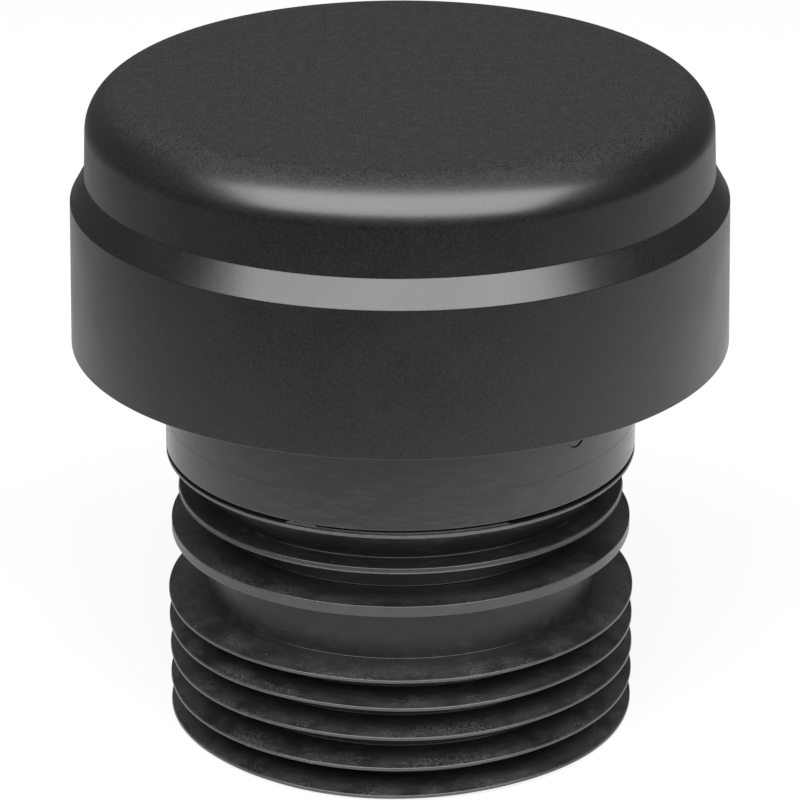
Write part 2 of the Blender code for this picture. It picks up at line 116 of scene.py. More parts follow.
# Connector
COLLAR_RADIUS = 0.0549
COLLAR_DRAFT = 0.0004
COLLAR_FOOT = 0.0677
COLLAR_TOP = 0.104
COLLAR_WALL = 0.0028
FLOOR_TOP = 0.0704
FLOOR_ROUND = 0.0012
SPIGOT_RADIUS = 0.0402
SPIGOT_BORE = 0.0372
SPIGOT_FOOT = 0.006
SPIGOT_CHAMFER = (0.001, 0.002)
WITNESS_HEIGHT = 0.0755
WITNESS_STEP = 0.00003

# Parting line on the collar: its azimuth from the front, height, width, and how far into the
# wall and below the collar's top edge it reaches
PARTING_AZIMUTH = -25.8
PARTING_HEIGHT = 0.00005
PARTING_WIDTH = 0.00025
PARTING_DEPTH = 0.002
PARTING_GAP = 0.001

# Latch tongues of the collar, their azimuths counted from +X
LATCH_AZIMUTHS = (-43.8, 76.2, 196.2)
LATCH_FOOT = 0.0809
LATCH_TOP = 0.1
LATCH_HALF_WIDTH = 0.0027
LATCH_SLOT = 0.0004
LATCH_LEAN = 0.00037
LATCH_BUMP = (0.0022, 0.005, 0.0028)
LATCH_BUMP_HEIGHT = 0.0893
LATCH_ARC_STEPS = 24

# Cap
CAP_TOP = 0.155
CAP_WALL = 0.0026
DRUM_RADIUS = 0.072
DRUM_FOOT = 0.1342
DRUM_DRAFT = 0.0004
ROUND_ACROSS = 0.012
ROUND_DOWN = 0.0105
ROUND_STEPS = 24
ROUND_STEPS_INSIDE = 8
SHOULDER_RADIUS = 0.0754
SHOULDER_FOOT = 0.1282
SHOULDER_ROUND = 0.00035
SHOULDER_DROP_INSIDE = 0.0008
SKIRT_RADIUS = 0.0761
SKIRT_FOOT = 0.094
SKIRT_WALL = 0.0021
PRESS_RIB_ROOT = 0.0022
PRESS_RIB_FOOT = 0.1245
PRESS_RIB_WIDTH = 0.002
GUIDE_BORE = 0.0044
GUIDE_RADIUS = 0.007
GUIDE_DRAFT = 0.0006
GUIDE_FOOT = 0.134
GUIDE_END = 0.151
RIBS = 6
RIB_THICKNESS = 0.0016
RIB_FOOT = 0.1412
RIB_CORNER = 0.009
RIB_OVERLAP = 0.0008
RIB_WALL_OVERLAP = 0.0006
LUGS = 6
LUG = (0.0034, 0.01, 0.0032)
LUG_HEIGHT = 0.1181
LUG_OVERLAP = 0.0004

# Rings of points that keep the shading even: one on the flat top, one close to its rounded edge,
# and one just inside and above the drum's foot
TOP_RING = 0.03
TOP_EDGE_RING = 0.004
DRUM_FOOT_RING = (0.00004, 0.0009)

# Small marks of moulding on the rims: azimuth from the front to the right in degrees, height,
# size. Then the width of one, and how much less a distance up counts than one along the rim.
NIBS = (
    (-50.7, 0.0294, 0.00022),
    (39.4, 0.0294, 0.0002),
    (-40.7, 0.0151, 0.0002),
    (-39.9, 0.0076, 0.0002),
    (-22.0, 0.0076, 0.00016),
    (14.0, 0.0462, 0.00014),
    (-3.0, 0.0078, 0.00014),
    (128.0, 0.0228, 0.0002),
    (167.0, 0.0153, 0.0002),
    (-142.0, 0.0294, 0.0002),
)
NIB_WIDTH = 0.0004
NIB_FLATNESS = 0.6

# Bends of each soft rim, by the height of its foot: evenly up, up to the right, up in front and
# behind, and in waves round the rim with one of their crests at an azimuth
SWAYS = {
    0.0: (0.00025, 0.0003, 0.0, 0.00018, 25),
    0.0071: (0.0005, 0.00053, 0.0, 0.00008, 40),
    0.0149: (0.0002, 0.0003, 0.00018, 0.00018, 45),
    0.0222: (0.00035, 0.00018, 0.00018, 0.00018, 45),
    0.0292: (0.00038, 0.0003, 0.00005, 0.0001, 45),
    0.045: (-0.00003, 0.00014, 0.00015, 0.0, 0),
    0.053: (0.00008, 0.0, -0.00006, 0.0, 0),
    0.059: (0.0002, -0.0001, -0.0001, 0.0, 0),
}
WAVES = 5
SWAY_MARGIN = 0.0002

# Unevenness of the soft parts: how far out from the neck it starts, its scales round the part
# and up it, how much finer its second ripple is, the heights of both, and the even and the
# uneven share of what the rims stand out
STIFF_REACH = 0.001
RIPPLE_SCALES = (1.6, 90)
RIPPLE_FINER = 5
RIPPLES = (0.00007, 0.00004)
RUNOUT = (0.00003, 0.00012)

# Flash on the lip: to which azimuth it runs, its least height there, how much more it has, and
# how pale it is
FLASH_FROM = -28.5
FLASHES = (
    (-20.5, 0.00045, 0.00065, 1.0),
    (27.0, 0.00045, 0.00015, 0.35),
)
FLASH_STEP = 0.17
FLASH_SEED = 5

# Section of the flash: its outer radius, width and raggedness, how much its outer side leans in,
# how deep it sits in the lip, its least share of height at its ends, and from how high over the
# lip a point belongs to it
FLASH_RADIUS = 0.0545
FLASH_WIDTH = 0.0005
FLASH_RAGGED = 0.0001
FLASH_LEAN = 0.0002
FLASH_SINK = 0.00015
FLASH_LEAST = 0.05
FLASH_CLEAR = 0.0002

# Camera, worked out from the rings' ellipses in the photograph
CAMERA_AIM = Vector((-0.0001, 0, 0.07661))
CAMERA_DISTANCE = 0.962
CAMERA_ELEVATION = math.radians(22.474)
CAMERA_ROLL = math.radians(-0.12)
CAMERA_LENS = 185.28
CAMERA_SENSOR = 36
CAMERA_NEAR = 0.05

# Studio
FLOOR_REACH = 3.0
FLOOR_PLAIN = (0.4, 0.4, 0.4)
FLOOR_WHITE = (0.16, 0.16, 0.16)
FLOOR_GLOW = 0.84
POOL_REACHES = (0.56, 0.5)
POOL_CENTRE = (0.08, 0.05)
POOL_FADE = (0.05, 1.24)
SURROUND_LIFT = 0.002
DARK_FRONT = 0.01
DARK_BACK = 0.2
WORLD_AROUND = 0.12
WORLD_BEHIND = 0.142
BEHIND_FROM = 0.3
SOFTBOX_AIM = (0, 0, 0.08)
SOFTBOX_DISTANCE = 1.5
SOFTBOX_ELEVATION = 53
SOFTBOX_ROLL = math.radians(-6)
SOFTBOX_SIZE = (3.4, 1.5)
SOFTBOX_POWER = 72

# Colours of what lies on the surfaces, and of what is worn or cut
DUST = (0.06, 0.06, 0.058)
HAZE = (0.06, 0.06, 0.059)
WIPED_DUST = (0.22, 0.22, 0.215)
RUBBER_SPECK = (0.075, 0.074, 0.071)
CUT_RUBBER = (0.11, 0.11, 0.111)
CAP_SPECK = (0.05, 0.05, 0.049)
CAP_WORN = (0.03, 0.03, 0.031)
COLLAR_WORN = (0.05, 0.05, 0.051)
SCRATCH = (0.07, 0.07, 0.07)

# How much a step outwards counts against one up, in marks that follow a part's turning
OUTWARD_WEIGHT = 1.7


def from_front(azimuth):
    """Azimuth from the photographed side towards its right, as an angle from +X."""
    return math.radians(azimuth - 90)


def to_front(angle):
    """The other way: an angle from +X as an azimuth from the photographed side."""
    return math.degrees(angle) + 90


# Meshes

def new_object(name, mesh):
    item = bpy.data.objects.new(name, mesh)
    bpy.context.scene.collection.objects.link(item)
    return item


def ellipse_arc(centre, radii, start, end, steps, rim=0):
    """Outline corners along an arc, angles in degrees counted from +X towards +Z."""
    corners = []
    for step in range(steps + 1):
        angle = math.radians(start + (end - start) * step / steps)
        across = centre[0] + radii[0] * math.cos(angle)
        up = centre[1] + radii[1] * math.sin(angle)
        corners.append((across, up, 0, rim))
    return corners


def corner_points(before, here, after, radius, rim_before, rim_here):
    """A rounded corner with a support point on each side, as across, up, rim, edge and crease."""
    to_before = before - here
    to_after = after - here
    half = to_before.angle(to_after) / 2
    turn = math.pi - 2 * half
    if radius == 0 or turn < FLAT_TURN:
        return [(here.x, here.y, (rim_before + rim_here) / 2, 0, 0)]
    room = CORNER_SHARE * min(to_before.length, to_after.length)
    reach = min(radius / math.tan(half), room)
    real = reach * math.tan(half)
    to_before.normalize()
    to_after.normalize()
    centre = here + (to_before + to_after).normalized() * (real / math.sin(half))
    start = here + to_before * reach - centre
    end = here + to_after * reach - centre
    outward = to_before.x * to_after.y - to_before.y * to_after.x > 0
    support = min(SUPPORT, SUPPORT_SHARE * room - reach)
    first = here + to_before * (reach + support)
    last = here + to_after * (reach + support)
    points = [(first.x, first.y, rim_before, 0, 0)]
    steps = max(2, math.ceil(turn / ARC_STEP))
    for step in range(steps + 1):
        share = step / steps
        place = start * math.sin((1 - share) * turn) + end * math.sin(share * turn)
        place = centre + place / math.sin(turn)
        rim = rim_before + (rim_here - rim_before) * share
        worn = math.sin(math.pi * share)
        points.append((place.x, place.y, rim, worn * outward, worn * (not outward)))
    points.append((last.x, last.y, rim_here, 0, 0))
    return points


def rounded(outline, closed=True):
    """Rounds an outline's corners. Each is across, up, radius and the rim value of the side after it."""
    points = []
    count = len(outline)
    for index, (across, up, radius, rim) in enumerate(outline):
        here = Vector((across, up))
        if not closed and index in (0, count - 1):
            points.append((across, up, rim, 0, 0))
            continue
        before = Vector(outline[index - 1][:2])
        after = Vector(outline[(index + 1) % count][:2])
        points += corner_points(before, here, after, radius, outline[index - 1][3], rim)
    return points


def azimuths_with(marks):
    """Even azimuths, with more of them around each marked one, as angles from +X."""
    azimuths = {round(math.tau * step / STEPS, 6) for step in range(STEPS)}
    for mark in marks:
        for step in range(-MARK_STEPS, MARK_STEPS + 1):
            angle = from_front(mark) + step * MARK_SPACING / FIN_RADIUS
            azimuths.add(round(angle % math.tau, 6))
    return sorted(azimuths)


def turned(name, points, azimuths, closed=True, warp=None):
    """A solid of revolution from outline points, with their rim, edge and crease kept on its points."""
    model = bmesh.new()
    layers = [model.verts.layers.float.new(layer) for layer in ("rim", "edge", "crease")]
    columns = []
    for azimuth in azimuths:
        column = []
        for across, up, *values in points:
            if across < ON_AXIS and columns:
                column.append(columns[0][len(column)])
                continue
            if warp:
                across, up = warp(across, up, azimuth)
            vert = model.verts.new((across * math.cos(azimuth), across * math.sin(azimuth), up))
            for layer, value in zip(layers, values):
                vert[layer] = value
            column.append(vert)
        columns.append(column)
    count = len(points)
    last = count if closed else count - 1
    for column, following in zip(columns, columns[1:] + columns[:1]):
        for index in range(last):
            after = (index + 1) % count
            corners = []
            for vert in (column[index], following[index], following[after], column[after]):
                if vert not in corners:
                    corners.append(vert)
            if len(corners) > 2:
                model.faces.new(corners)
    return from_bmesh(name, model)


def from_bmesh(name, model):
    bmesh.ops.recalc_face_normals(model, faces=model.faces)
    mesh = bpy.data.meshes.new(name)
    model.to_mesh(mesh)
    model.free()
    return new_object(name, mesh)


def radial_place(radius, azimuth, height):
    """Turns a shape that faces +X to an azimuth and puts it at a radius and a height."""
    turn = Matrix.Rotation(azimuth, 4, "Z")
    return turn @ Matrix.Translation((radius, 0, height))


def ring_of_boxes(name, size, radius, height, azimuths):
    model = bmesh.new()
    for azimuth in azimuths:
        place = radial_place(radius, azimuth, height) @ Matrix.Diagonal((*size, 1))
        bmesh.ops.create_cube(model, size=1, matrix=place)
    return from_bmesh(name, model)


def add_prism(model, outline, way):
    """Adds a flat outline to a mesh and pushes it along a vector into a solid."""
    face = model.faces.new([model.verts.new(corner) for corner in outline])
    pushed = bmesh.ops.extrude_face_region(model, geom=[face], use_keep_orig=True)
    moved = [part for part in pushed["geom"] if isinstance(part, bmesh.types.BMVert)]
    bmesh.ops.translate(model, verts=moved, vec=way)


def evenly(count, start=0.0):
    return [start + math.tau * step / count for step in range(count)]


def combine(item, tool, operation):
    """Does a Boolean at once and deletes its tool."""
    boolean = item.modifiers.new(tool.name, "BOOLEAN")
    boolean.operation = operation
    boolean.solver = "EXACT"
    boolean.object = tool
    graph = bpy.context.evaluated_depsgraph_get()
    mesh = bpy.data.meshes.new_from_object(item.evaluated_get(graph))
    item.modifiers.clear()
    item.data = mesh
    bpy.data.objects.remove(tool)


def finish(item, material, body, slot, *nodes):
    """Shades a piece, gives it its material, hangs it under its body and hides the CAD nodes it stands for.
    """
    mesh = item.data
    mesh.name = item.name
    mesh.materials.clear()
    mesh.materials.append(material)
    mesh.shade_smooth()
    mesh.set_sharp_from_angle(angle=SHARP_ANGLE)
    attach(item, body)
    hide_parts(*nodes)


# Pipe seal

def fin_corners(rim_radius, rim_foot, rim_top, root_radius, root_foot, root_top):
    """A tapering fin from its root's top out to its rim and back. Its rim is rounded above only."""
    return [
        (root_radius, root_top, ROOT_FILLET, 0),
        (rim_radius, rim_top, RIM_ROUND, FIN_PALE),
        (rim_radius, rim_foot, RIM_EDGE, 0),
        (root_radius, root_foot, ROOT_FILLET, 0),
    ]


def seal_corners():
    """The seal's section: down its outside from the lip to its foot, and up its bore."""
    lip = [
        (LIP_STEP_RADIUS, SEAL_TOP, EDGE, 0),
        (LIP_STEP_RADIUS, LIP_TOP + LIP_RISE, EDGE, 0),
        (LIP_RADIUS, LIP_TOP, LIP_ROUND, LIP_PALE),
        (LIP_RADIUS, LIP_FOOT, RIM_EDGE, 0),
        (*LIP_UNDER, LIP_UNDER_ROUND, 0),
    ]
    step_radius = SHORT_FIN_RADIUS - SHORT_FIN_STEP
    step_height = SHORT_FIN_FOOT + SHORT_FIN_STEP_SHARE * (SHORT_FIN_TOP - SHORT_FIN_FOOT)
    short_fin = [
        (LIP_ROOT_RADIUS, SHORT_FIN_TOP + SHORT_FIN_RISE, ROOT_FILLET, 0),
        (step_radius, SHORT_FIN_TOP, SHORT_FIN_ROUND, SHORT_FIN_STEP_PALE),
        (step_radius, step_height, CRISP_EDGE, SHORT_FIN_PALE),
        (SHORT_FIN_RADIUS, SHORT_FIN_FOOT, RIM_EDGE, 0),
        (LIP_ROOT_RADIUS, SHORT_FIN_FOOT - SHORT_FIN_FALL, ROOT_FILLET, 0),
    ]
    stop = [
        (GROOVE_RADIUS, SHORT_FIN_FOOT - GROOVE_DROP, WIDE_EDGE, 0),
        (GROOVE_RADIUS, STOP_TOP, ROOT_FILLET, 0),
        (STOP_RADIUS, STOP_TOP, LIP_ROUND, STOP_PALE),
        (STOP_RADIUS, STOP_FOOT, CRISP_EDGE, 0),
        (NECK_RADIUS, STOP_FOOT, NECK_ROUND, 0),
    ]
    corners = lip + short_fin + stop
    for foot in FIN_FEET:
        rim_top = foot + FIN_RIM
        corners += fin_corners(FIN_RADIUS, foot, rim_top, NECK_RADIUS, foot, rim_top + FIN_RISE)
    corners += [
        (NECK_RADIUS, 0, EDGE, 0),
        (SEAL_FOOT_BORE, 0, EDGE, 0),
        (SEAL_FOOT_BORE, SEAL_FOOT_TOP, EDGE, 0),
        (SEAL_BORE, SEAL_FOOT_TOP, FINE_EDGE, 0),
        (SEAL_BORE, SEAL_TOP, EDGE, 0),
    ]
    return corners


def nib_bulge(radius, height, azimuth):
    """How far the nibs push a point of a rim outwards."""
    bulge = 0.0
    for mark, nib_height, size in NIBS:
        aside = (azimuth - from_front(mark) + math.pi) % math.tau - math.pi
        distance = math.hypot(aside * radius, (height - nib_height) * NIB_FLATNESS)
        bulge += size * math.exp(-(distance / NIB_WIDTH) ** 2)
    return bulge


def sway(height, azimuth):
    """How far the soft rim at a height is bent up at an azimuth, as SWAYS says."""
    foot = max(foot for foot in SWAYS if foot < height + SWAY_MARGIN)
    even, side, fold, wave, crest = SWAYS[foot]
    turn = azimuth - from_front(0)
    waves = math.cos(WAVES * (azimuth - from_front(crest)))
    return even + side * math.sin(turn) + fold * math.cos(2 * turn) + wave * waves


def seal_warp(radius, height, azimuth):
    """Bends the soft fins a little, and adds the nibs on their rims."""
    if radius <= NECK_RADIUS + STIFF_REACH:
        return radius, height
    loose = min(1.0, (radius - NECK_RADIUS) / (FIN_RADIUS - NECK_RADIUS)) ** 2
    around, up = RIPPLE_SCALES
    place = Vector((math.cos(azimuth) * around, math.sin(azimuth) * around, height * up))
    fine_place = place * RIPPLE_FINER + Vector((3, 7, 11))
    ripple = RIPPLES[0] * noise.noise(place) + RIPPLES[1] * noise.noise(fine_place)
    lifted = height + loose * (sway(height, azimuth) + ripple)
    pushed = radius + loose * (RUNOUT[1] * noise.noise(place + Vector((9, 2, 5))) + RUNOUT[0])
    if radius > SHORT_FIN_RADIUS - WIDE_EDGE:
        pushed += nib_bulge(radius, height, azimuth)
    return pushed, lifted


def flash_at(mark):
    """The flash's least height, how much more it has and how pale it is, at an azimuth."""
    return next(values for reach, *values in FLASHES if mark < reach + FLASH_STEP)


def make_flash():
    """A thin shred of flash with a torn top edge, in the gap between the lip and the collar."""
    torn = random.Random(FLASH_SEED)
    model = bmesh.new()
    low = LIP_TOP - FLASH_SINK
    last = FLASHES[-1][0]
    rows = []
    for step in range(round((last - FLASH_FROM) / FLASH_STEP) + 1):
        mark = FLASH_FROM + step * FLASH_STEP
        least, more, _ = flash_at(mark)
        taper = min(1.0, mark - FLASH_FROM, last - mark)
        high = LIP_TOP + (least + more * torn.random()) * max(FLASH_LEAST, taper)
        inner = FLASH_RADIUS - FLASH_WIDTH + FLASH_RAGGED * torn.random()
        outer = FLASH_RADIUS + FLASH_RAGGED * torn.random()
        azimuth = from_front(mark)
        row = []
        for radius, height in ((outer, low), (outer - FLASH_LEAN, high), (inner, high), (inner, low)):
            lifted = height + sway(LIP_FOOT, azimuth)
            row.append(model.verts.new((radius * math.cos(azimuth), radius * math.sin(azimuth), lifted)))
        rows.append(row)
    for row, following in zip(rows, rows[1:]):
        for index in range(len(row)):
            after = (index + 1) % len(row)
            model.faces.new((row[index], following[index], following[after], row[after]))
    model.faces.new(rows[0])
    model.faces.new(rows[-1])
    return from_bmesh("flash", model)


def lighten_flash(mesh):
    """Gives the flash its rim values, which the union leaves out."""
    values = mesh.attributes["rim"].data
    inner = FLASH_RADIUS - FLASH_WIDTH - FLASH_CLEAR
    for vert in mesh.vertices:
        azimuth = math.atan2(vert.co.y, vert.co.x)
        over = vert.co.z - sway(LIP_FOOT, azimuth) - LIP_TOP
        if over > FLASH_CLEAR and math.hypot(vert.co.x, vert.co.y) > inner:
            _, _, pale = flash_at(to_front(azimuth))
            values[vert.index].value = pale


def make_pipe_seal(material):
    azimuths = azimuths_with([mark for mark, _, _ in NIBS])
    seal = turned("ribbed_seal", rounded(seal_corners()), azimuths, warp=seal_warp)
    combine(seal, make_flash(), "UNION")
    lighten_flash(seal.data)
    finish(seal, material, "housing", "seal_rubber", "pipe_seal")


# Connector

def parting_line(radius, height, azimuth):
    """Raises the collar along the line where the mould's halves met, on its outside."""
    if radius < COLLAR_RADIUS - PARTING_DEPTH or height > COLLAR_TOP - PARTING_GAP:
        return radius, height
    raised = 0.0
    for mark in (PARTING_AZIMUTH, PARTING_AZIMUTH + 180):
        aside = (azimuth - from_front(mark) + math.pi) % math.tau - math.pi
        raised += PARTING_HEIGHT * math.exp(-(aside * radius / PARTING_WIDTH) ** 2)
    return radius + raised, height


def latch_corners():
    """Corners of a U-shaped slot, wider on its right, and the height of its round end's centre."""
    outer = LATCH_HALF_WIDTH + LATCH_SLOT / 2
    inner = LATCH_HALF_WIDTH - LATCH_SLOT / 2
    middle = LATCH_FOOT + LATCH_HALF_WIDTH
    rising = LATCH_TOP - middle
    corners = [(-outer, rising)]
    outer_end = ellipse_arc((0, 0), (outer, outer), 180, 360, LATCH_ARC_STEPS)
    inner_end = ellipse_arc((-LATCH_LEAN, 0), (inner, inner), 360, 180, LATCH_ARC_STEPS)
    corners += [corner[:2] for corner in outer_end]
    corners += [(outer, rising), (inner - LATCH_LEAN, rising)]
    corners += [corner[:2] for corner in inner_end]
    corners.append((-inner - LATCH_LEAN, rising))
    return corners, middle


def make_latch_cutter():
    corners, middle = latch_corners()
    reach = 2 * COLLAR_WALL
    upright = Matrix.Rotation(math.radians(90), 4, "Z") @ Matrix.Rotation(math.radians(90), 4, "X")
    model = bmesh.new()
    for azimuth in LATCH_AZIMUTHS:
        turn = radial_place(COLLAR_RADIUS - COLLAR_WALL / 2, math.radians(azimuth), middle)
        outline = [turn @ upright @ Vector((x, y, -reach / 2)) for x, y in corners]
        add_prism(model, outline, turn.to_3x3() @ Vector((reach, 0, 0)))
    return from_bmesh("latch_slots", model)


def connector_corners():
    """The connector's section: down the collar and the spigot, and up their inside."""
    inside = COLLAR_RADIUS - COLLAR_WALL
    narrowing = COLLAR_DRAFT * (WITNESS_HEIGHT - COLLAR_FOOT) / (COLLAR_TOP - COLLAR_FOOT)
    at_witness = COLLAR_RADIUS - narrowing
    chamfer_across, chamfer_up = SPIGOT_CHAMFER
    return [
        (COLLAR_RADIUS - COLLAR_DRAFT - WITNESS_STEP, COLLAR_TOP, SOFT_EDGE, 0),
        (at_witness - WITNESS_STEP, WITNESS_HEIGHT, WITNESS_STEP / 2, 0),
        (at_witness, WITNESS_HEIGHT - WITNESS_STEP, WITNESS_STEP / 2, 0),
        (COLLAR_RADIUS, COLLAR_FOOT, EDGE, 0),
        (SPIGOT_RADIUS, COLLAR_FOOT, EDGE, 0),
        (SPIGOT_RADIUS, SPIGOT_FOOT + chamfer_up, SOFT_EDGE, 0),
        (SPIGOT_RADIUS - chamfer_across, SPIGOT_FOOT, SOFT_EDGE, 0),
        (SPIGOT_BORE, SPIGOT_FOOT, SOFT_EDGE, 0),
        (SPIGOT_BORE, FLOOR_TOP, FLOOR_ROUND, 0),
        (inside, FLOOR_TOP, CRISP_EDGE, 0),
        (inside, COLLAR_TOP, WIDE_EDGE, 0),
    ]


def make_connector(material):
    azimuths = azimuths_with([PARTING_AZIMUTH, PARTING_AZIMUTH + 180])
    connector = turned("collar", rounded(connector_corners()), azimuths, warp=parting_line)
    latches = [math.radians(azimuth) for azimuth in LATCH_AZIMUTHS]
    inside = COLLAR_RADIUS - COLLAR_WALL
    bumps = ring_of_boxes("latch_bumps", LATCH_BUMP, inside, LATCH_BUMP_HEIGHT, latches)
    combine(connector, bumps, "UNION")
    combine(connector, make_latch_cutter(), "DIFFERENCE")
    finish(connector, material, "housing", "body_plastic", "connector")


# Cap

def cap_corners():
    """The cap's section: down its outside, up its inside and down and up the guide tube."""
    top_edge = DRUM_RADIUS - DRUM_DRAFT - ROUND_ACROSS
    drum_top = CAP_TOP - ROUND_DOWN
    ceiling = CAP_TOP - CAP_WALL
    drum_inside = DRUM_RADIUS - CAP_WALL
    press_outside = drum_inside + PRESS_RIB_WIDTH
    inner_across = ROUND_ACROSS - CAP_WALL
    inner_down = ROUND_DOWN - CAP_WALL
    inner_centre = (drum_inside - DRUM_DRAFT - inner_across, ceiling - inner_down)
    outside = [
        (0, CAP_TOP, 0, 0),
        (TOP_RING, CAP_TOP, 0, 0),
        (top_edge - TOP_EDGE_RING, CAP_TOP, 0, 0),
    ]
    outside += ellipse_arc((top_edge, drum_top), (ROUND_ACROSS, ROUND_DOWN), 90, 0, ROUND_STEPS)
    outside += [
        (DRUM_RADIUS - DRUM_FOOT_RING[0], DRUM_FOOT + DRUM_FOOT_RING[1], 0, 0),
        (DRUM_RADIUS, DRUM_FOOT, EDGE, 0),
        (SHOULDER_RADIUS, SHOULDER_FOOT, SHOULDER_ROUND, 0),
        (SKIRT_RADIUS, SKIRT_FOOT, CRISP_EDGE, 0),
    ]
    inside = [
        (SKIRT_RADIUS - SKIRT_WALL, SKIRT_FOOT, WIDE_EDGE, 0),
        (SHOULDER_RADIUS - SKIRT_WALL, SHOULDER_FOOT - SHOULDER_DROP_INSIDE, SOFT_EDGE, 0),
        (press_outside, SHOULDER_FOOT + PRESS_RIB_ROOT, CRISP_EDGE, 0),
        (press_outside, PRESS_RIB_FOOT, SOFT_EDGE, 0),
        (drum_inside, PRESS_RIB_FOOT, SOFT_EDGE, 0),
    ]
    inside += ellipse_arc(inner_centre, (inner_across, inner_down), 0, 90, ROUND_STEPS_INSIDE)
    guide = [
        (GUIDE_RADIUS + GUIDE_DRAFT, ceiling, WIDE_EDGE, 0),
        (GUIDE_RADIUS, GUIDE_FOOT, SOFT_EDGE, 0),
        (GUIDE_BORE, GUIDE_FOOT, EDGE, 0),
        (GUIDE_BORE, GUIDE_END, EDGE, 0),
        (0, GUIDE_END, 0, 0),
    ]
    return outside + inside + guide


def make_stop_ribs():
    """Six upright ribs under the cap's top, from the guide tube to the drum's wall."""
    inner = GUIDE_BORE + RIB_OVERLAP
    outer = DRUM_RADIUS - CAP_WALL + RIB_WALL_OVERLAP
    top = CAP_TOP - CAP_WALL + RIB_OVERLAP
    outline = [
        (inner, RIB_FOOT),
        (outer, RIB_FOOT),
        (outer, top - RIB_CORNER),
        (outer - RIB_CORNER, top),
        (inner, top),
    ]
    model = bmesh.new()
    for azimuth in evenly(RIBS):
        turn = Matrix.Rotation(azimuth, 4, "Z")
        side = -RIB_THICKNESS / 2
        corners = [turn @ Vector((across, side, up)) for across, up in outline]
        add_prism(model, corners, turn.to_3x3() @ Vector((0, RIB_THICKNESS, 0)))
    return from_bmesh("stop_ribs", model)


def make_cap(material):
    azimuths = evenly(STEPS)
    cap = turned("domed_cap", rounded(cap_corners(), closed=False), azimuths, closed=False)
    combine(cap, make_stop_ribs(), "UNION")
    lug_radius = SHOULDER_RADIUS - SKIRT_WALL - LUG_OVERLAP
    lugs = ring_of_boxes("snap_lugs", LUG, lug_radius, LUG_HEIGHT, evenly(LUGS, math.pi / LUGS))
    combine(cap, lugs, "UNION")
    finish(cap, material, "housing", "cap_plastic", "cap")


# Materials

def fill_input(tree, socket, value):
    """Gives a node's input a value, or links it to another node's output."""
    if isinstance(value, bpy.types.NodeSocket):
        tree.links.new(value, socket)
    else:
        socket.default_value = value


def add_node(tree, kind, inputs=None, **settings):
    """Adds a node. Its inputs are values or sockets to link."""
    node = tree.nodes.new(kind)
    for key, value in settings.items():
        setattr(node, key, value)
    for key, value in (inputs or {}).items():
        fill_input(tree, node.inputs[key], value)
    return node


def shaded(base, factor):
    """A colour made darker or paler."""
    return [min(1.0, part * factor) for part in base]


class Look:
    """A material under construction, with short calls for the nodes that it uses."""

    def __init__(self, name, roughness, ior):
        self.material = bpy.data.materials.new(name)
        self.material.use_nodes = True
        self.tree = self.material.node_tree
        self.shader = self.tree.nodes["Principled BSDF"]
        self.set("Roughness", roughness)
        self.set("IOR", ior)
        self.place = self.add("ShaderNodeTexCoord").outputs["Object"]

    def add(self, kind, inputs=None, **settings):
        return add_node(self.tree, kind, inputs, **settings)

    def set(self, name, value):
        """Gives one of the shader's own inputs a value or a socket."""
        fill_input(self.tree, self.shader.inputs[name], value)

    def maths(self, operation, first, second=0.0, third=0.0):
        node = self.add("ShaderNodeMath", {0: first, 1: second, 2: third}, operation=operation)
        return node.outputs[0]

    def spread(self, value, low, high, to_low=0.0, to_high=1.0):
        """Maps a value smoothly from one range to another."""
        node = self.add(
            "ShaderNodeMapRange",
            {"Value": value, "From Min": low, "From Max": high, "To Min": to_low, "To Max": to_high},
            interpolation_type="SMOOTHSTEP")
        return node.outputs["Result"]

    def noise(self, scale, detail=2.0, vector=None, roughness=0.5):
        node = self.add(
            "ShaderNodeTexNoise",
            {"Vector": vector or self.place, "Scale": scale, "Detail": detail, "Roughness": roughness})
        return node.outputs["Fac"]

    def colour(self, factor, first, second):
        """Blends two colours, each a socket or three numbers."""
        ends = [end if isinstance(end, bpy.types.NodeSocket) else (*end, 1) for end in (first, second)]
        node = self.add("ShaderNodeMix", {0: factor, 6: ends[0], 7: ends[1]}, data_type="RGBA")
        return node.outputs[2]

    def attribute(self, name):
        return self.add("ShaderNodeAttribute", attribute_name=name).outputs["Fac"]

    def radius(self):
        """Distance from the object's axis."""
        x, y, _ = self.add("ShaderNodeSeparateXYZ", {0: self.place}).outputs
        return self.maths("SQRT", self.maths("MULTIPLY_ADD", x, x, self.maths("MULTIPLY", y, y)))

    def facing_up(self):
        geometry = self.add("ShaderNodeNewGeometry")
        return self.add("ShaderNodeSeparateXYZ", {0: geometry.outputs["Normal"]}).outputs["Z"]

    def stretched(self, around, up):
        """Coordinates that run along the surface of a turned part, for marks that follow its turning."""
        x, y, z = self.add("ShaderNodeSeparateXYZ", {0: self.place}).outputs
        radius = self.radius()
        across = self.maths("MULTIPLY", self.maths("DIVIDE", x, radius), around)
        along = self.maths("MULTIPLY", self.maths("DIVIDE", y, radius), around)
        level = self.maths("MULTIPLY", self.maths("MULTIPLY_ADD", radius, OUTWARD_WEIGHT, z), up)
        return self.add("ShaderNodeCombineXYZ", {"X": across, "Y": along, "Z": level}).outputs[0]

    def bump(self, height, strength, distance, normal=None):
        inputs = {"Height": height, "Strength": strength, "Distance": distance}
        if normal:
            inputs["Normal"] = normal
        return self.add("ShaderNodeBump", inputs).outputs["Normal"]

    def done(self, colour, roughness, normal):
        self.set("Base Color", colour)
        self.set("Roughness", roughness)
        self.set("Normal", normal)
        return self.material


